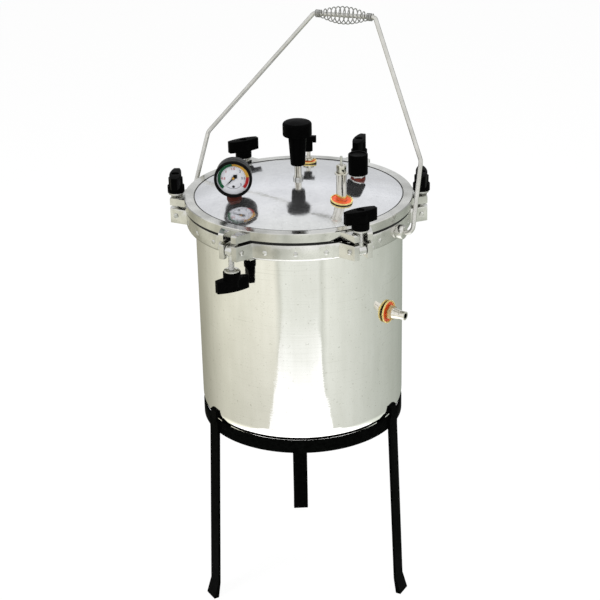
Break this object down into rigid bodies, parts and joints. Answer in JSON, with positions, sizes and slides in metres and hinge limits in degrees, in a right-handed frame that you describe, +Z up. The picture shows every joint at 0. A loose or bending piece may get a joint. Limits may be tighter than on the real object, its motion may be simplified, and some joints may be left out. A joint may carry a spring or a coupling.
{
  "type": "autoclave",
  "caption": "Portable steam autoclave: round pressure pot on a tripod stand, domed lid held by swing bolts with wing knobs, dial gauge, valves and a bail with a coil grip.",
  "frame": {"origin": "on the floor under the vessel's axis", "axes": "+Z up along the vessel's axis, -Y the side the gauge faces, +X to its right"},
  "size_m": [0.385, 0.3522, 0.8922],
  "materials": {
    "black_enamel": "satin black enamel on steel bar",
    "polished_aluminium": "polished, faintly brushed round the wall",
    "cast_aluminium": "machined and polished casting",
    "bright_steel": "bright zinc-plated steel",
    "bail_steel": "bright plated wire",
    "spring_steel": "plated spring wire",
    "chrome_plate": "chrome plate",
    "brass_metal": "turned brass",
    "black_rubber": "matte black silicone",
    "red_rubber": "red-brown fibre",
    "orange_plastic": "orange sealing washer",
    "black_phenolic": "moulded phenolic",
    "black_case": "gloss black enamel",
    "pointer_black": "matte black",
    "dial_white": "white printed dial",
    "gauge_window": "clear glass"
  },
  "bodies": {
    "stand": {"stand_ring": "black_enamel", "stand_legs": "black_enamel", "stand_tabs": "black_enamel"},
    "vessel": {"vessel_shell": "polished_aluminium", "body_ring": "cast_aluminium", "ring_rivets": "bright_steel", "gasket": "black_rubber", "clamp_pins": "bright_steel", "bail_bosses": "cast_aluminium", "drain_spout": "chrome_plate", "drain_nut": "brass_metal", "drain_washer": "orange_plastic", "drain_seal": "black_rubber", "drain_back_nut": "brass_metal"},
    "rack": {"steam_rack": "bright_steel"},
    "lid": {"lid_plate": "polished_aluminium", "lid_ring": "cast_aluminium", "lid_back_nuts": "brass_metal", "valve_seals": "black_rubber", "valve_washers": "orange_plastic", "handle_rod": "chrome_plate", "handle_nut": "bright_steel", "handle_grip": "black_phenolic", "gauge_nut": "red_rubber", "gauge_socket": "brass_metal", "gauge_case": "black_case", "gauge_bezel": "black_case", "gauge_glass": "gauge_window", "gauge_dial": "dial_white", "gauge_tube": "brass_metal", "safety_body": "chrome_plate", "safety_cap": "chrome_plate", "safety_spring": "spring_steel", "vent_stem": "chrome_plate", "vent_nut": "bright_steel", "release_stem": "chrome_plate"},
    "pointer": {"gauge_pointer": "pointer_black"},
    "plunger": {"safety_pin": "bright_steel"},
    "weight": {"vent_weight": "black_phenolic"},
    "release_lever": {"release_knob": "black_phenolic"},
    "bail": {"bail_wire": "bail_steel", "bail_grip": "spring_steel"},
    "bolt_1": {"eye_bolt_1": "bright_steel"},
    "collar_1": {"ferrule_1": "bright_steel"},
    "knob_1": {"knob_1": "black_phenolic"},
    "bolt_2": {"eye_bolt_2": "bright_steel"},
    "collar_2": {"ferrule_2": "bright_steel"},
    "knob_2": {"knob_2": "black_phenolic"},
    "bolt_3": {"eye_bolt_3": "bright_steel"},
    "collar_3": {"ferrule_3": "bright_steel"},
    "knob_3": {"knob_3": "black_phenolic"},
    "bolt_4": {"eye_bolt_4": "bright_steel"},
    "collar_4": {"ferrule_4": "bright_steel"},
    "knob_4": {"knob_4": "black_phenolic"},
    "bolt_5": {"eye_bolt_5": "bright_steel"},
    "collar_5": {"ferrule_5": "bright_steel"},
    "knob_5": {"knob_5": "black_phenolic"},
    "bolt_6": {"eye_bolt_6": "bright_steel"},
    "collar_6": {"ferrule_6": "bright_steel"},
    "knob_6": {"knob_6": "black_phenolic"}
  },
  "joints": [
    {"name": "vessel_lift", "type": "slide", "parent": "stand", "child": "vessel", "axis": [0, 0, 1], "range_m": [0, 0.1]},
    {"name": "rack_lift", "type": "slide", "parent": "vessel", "child": "rack", "axis": [0, 0, 1], "range_m": [0, 0.25]},
    {"name": "lid_lift", "type": "slide", "parent": "vessel", "child": "lid", "axis": [0, 0, 1], "range_m": [0, 0.012]},
    {"name": "clamp_1_swing", "type": "hinge", "parent": "vessel", "child": "bolt_1", "pos_m": [0.18, 0, 0.6125], "axis": [0, 1, 0], "range_deg": [0, 180]},
    {"name": "ferrule_1_run", "type": "slide", "parent": "bolt_1", "child": "collar_1", "axis": [0, 0, 1], "range_m": [-0.00188, 0.00251]},
    {"name": "knob_1_turn", "type": "hinge", "parent": "collar_1", "child": "knob_1", "pos_m": [0.18, 0, 0.6125], "axis": [0, 0, 1], "range_deg": [-540, 720]},
    {"name": "clamp_2_swing", "type": "hinge", "parent": "vessel", "child": "bolt_2", "pos_m": [0.09, 0.15588, 0.6125], "axis": [-0.866, 0.5, 0], "range_deg": [0, 180]},
    {"name": "ferrule_2_run", "type": "slide", "parent": "bolt_2", "child": "collar_2", "axis": [0, 0, 1], "range_m": [-0.00188, 0.00251]},
    {"name": "knob_2_turn", "type": "hinge", "parent": "collar_2", "child": "knob_2", "pos_m": [0.09, 0.15588, 0.6125], "axis": [0, 0, 1], "range_deg": [-540, 720]},
    {"name": "clamp_3_swing", "type": "hinge", "parent": "vessel", "child": "bolt_3", "pos_m": [-0.09, 0.15588, 0.6125], "axis": [-0.866, -0.5, 0], "range_deg": [0, 180]},
    {"name": "ferrule_3_run", "type": "slide", "parent": "bolt_3", "child": "collar_3", "axis": [0, 0, 1], "range_m": [-0.00188, 0.00251]},
    {"name": "knob_3_turn", "type": "hinge", "parent": "collar_3", "child": "knob_3", "pos_m": [-0.09, 0.15588, 0.6125], "axis": [0, 0, 1], "range_deg": [-540, 720]},
    {"name": "clamp_4_swing", "type": "hinge", "parent": "vessel", "child": "bolt_4", "pos_m": [-0.18, 0, 0.6125], "axis": [0, -1, 0], "range_deg": [0, 180]},
    {"name": "ferrule_4_run", "type": "slide", "parent": "bolt_4", "child": "collar_4", "axis": [0, 0, 1], "range_m": [-0.00188, 0.00251]},
    {"name": "knob_4_turn", "type": "hinge", "parent": "collar_4", "child": "knob_4", "pos_m": [-0.18, 0, 0.6125], "axis": [0, 0, 1], "range_deg": [-540, 720]},
    {"name": "clamp_5_swing", "type": "hinge", "parent": "vessel", "child": "bolt_5", "pos_m": [-0.09, -0.15588, 0.6125], "axis": [0.866, -0.5, 0], "range_deg": [-180, 0]},
    {"name": "ferrule_5_run", "type": "slide", "parent": "bolt_5", "child": "collar_5", "axis": [0, 0, -1], "range_m": [-0.00188, 0.00251]},
    {"name": "knob_5_turn", "type": "hinge", "parent": "collar_5", "child": "knob_5", "pos_m": [-0.09, -0.15588, 0.6125], "axis": [0, 0, -1], "range_deg": [-540, 720]},
    {"name": "clamp_6_swing", "type": "hinge", "parent": "vessel", "child": "bolt_6", "pos_m": [0.09, -0.15588, 0.6125], "axis": [0.866, 0.5, 0], "range_deg": [0, 180]},
    {"name": "ferrule_6_run", "type": "slide", "parent": "bolt_6", "child": "collar_6", "axis": [0, 0, 1], "range_m": [-0.00188, 0.00251]},
    {"name": "knob_6_turn", "type": "hinge", "parent": "collar_6", "child": "knob_6", "pos_m": [0.09, -0.15588, 0.6125], "axis": [0, 0, 1], "range_deg": [-540, 720]},
    {"name": "bail_swing", "type": "hinge", "parent": "vessel", "child": "bail", "pos_m": [0, 0, 0.611], "axis": [-0.866, 0.5, 0], "range_deg": [-125, 75]},
    {"name": "pointer_turn", "type": "hinge", "parent": "lid", "child": "pointer", "pos_m": [-0.0904, -0.06503, 0.68502], "axis": [0, 1, 0], "range_deg": [0, 270], "stiffness_Nm_per_rad": 0.0002, "springref_deg": -17.19},
    {"name": "safety_lift", "type": "slide", "parent": "lid", "child": "plunger", "axis": [0, 0, 1], "range_m": [0, 0.005], "stiffness_N_per_m": 1500, "springref_m": -0.004, "deforming": ["safety_spring"]},
    {"name": "weight_lift", "type": "slide", "parent": "lid", "child": "weight", "axis": [0, 0, 1], "range_m": [0, 0.012]},
    {"name": "release_turn", "type": "hinge", "parent": "lid", "child": "release_lever", "pos_m": [0.01307, 0.09303, 0.67349], "axis": [0, 0, 1], "range_deg": [0, 90]}
  ],
  "couplings": [
    {"joint": "ferrule_1_run", "follows": "knob_1_turn", "m_per_rad": 0.00019894},
    {"joint": "clamp_1_swing", "follows": "lid_lift", "rad_per_m": 261.8},
    {"joint": "ferrule_2_run", "follows": "knob_2_turn", "m_per_rad": 0.00019894},
    {"joint": "clamp_2_swing", "follows": "lid_lift", "rad_per_m": 261.8},
    {"joint": "ferrule_3_run", "follows": "knob_3_turn", "m_per_rad": 0.00019894},
    {"joint": "clamp_3_swing", "follows": "lid_lift", "rad_per_m": 261.8},
    {"joint": "ferrule_4_run", "follows": "knob_4_turn", "m_per_rad": 0.00019894},
    {"joint": "clamp_4_swing", "follows": "lid_lift", "rad_per_m": 261.8},
    {"joint": "ferrule_5_run", "follows": "knob_5_turn", "m_per_rad": 0.00019894},
    {"joint": "ferrule_6_run", "follows": "knob_6_turn", "m_per_rad": 0.00019894},
    {"joint": "clamp_6_swing", "follows": "lid_lift", "rad_per_m": 261.8}
  ]
}
